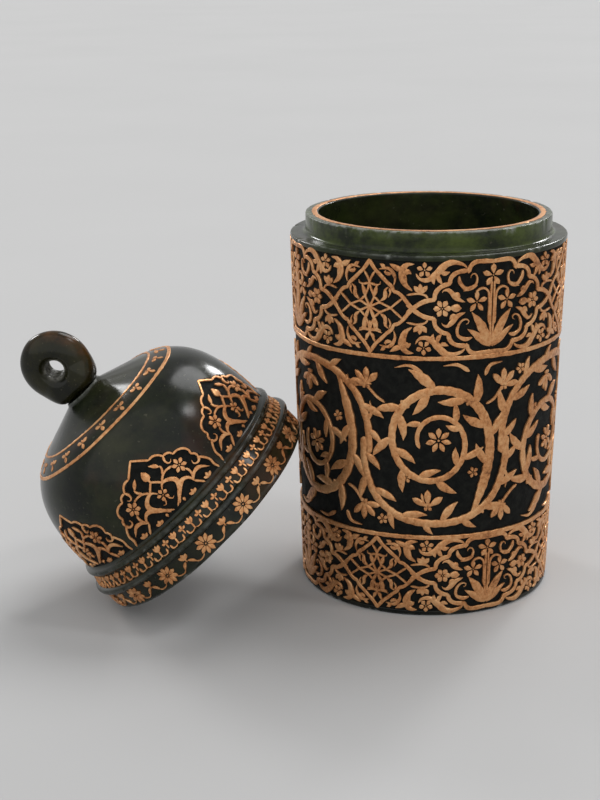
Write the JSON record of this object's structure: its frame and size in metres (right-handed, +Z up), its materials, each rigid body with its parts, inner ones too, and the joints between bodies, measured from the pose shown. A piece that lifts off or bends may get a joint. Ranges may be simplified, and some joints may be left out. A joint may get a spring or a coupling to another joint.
{
  "type": "kohl container",
  "caption": "Small round covered jar in dark green stone laid with gold ornament; its domed lid with a pierced finial is off and leans on the jar's side.",
  "frame": {"origin": "centre of the jar's flat base, on the surface it stands on", "axes": "+Z up along the jar's axis; -X towards the leaning lid; -Y towards the camera of the picture"},
  "size_m": [0.1026, 0.0622, 0.0721],
  "materials": {
    "stone": "polished, near-black green with brown and grey-green clouds",
    "finial_stone": "polished, dark green with amber edges",
    "gold": "hand-chased copper-toned gold, satin and worn"
  },
  "bodies": {
    "jar": {"jar_body": "stone", "lip_ring": "gold", "upper_line": "gold", "lower_line": "gold", "upper_medallions": "gold", "upper_lattices": "gold", "upper_palmettes": "gold", "middle_arabesque": "gold", "lower_medallions": "gold", "lower_lattices": "gold", "lower_palmettes": "gold"},
    "lid": {"lid_dome": "stone", "finial": "finial_stone", "lid_outer_line": "gold", "lid_inner_line": "gold", "lid_blossoms": "gold", "lid_medallions": "gold", "lid_tulips": "gold", "lid_daisies": "gold"}
  },
  "joints": [
    {"name": "lid_lift", "type": "slide", "parent": "jar", "child": "lid", "axis": [-0.1736, 0, 0.9848], "range_m": [0, 0.09]}
  ]
}
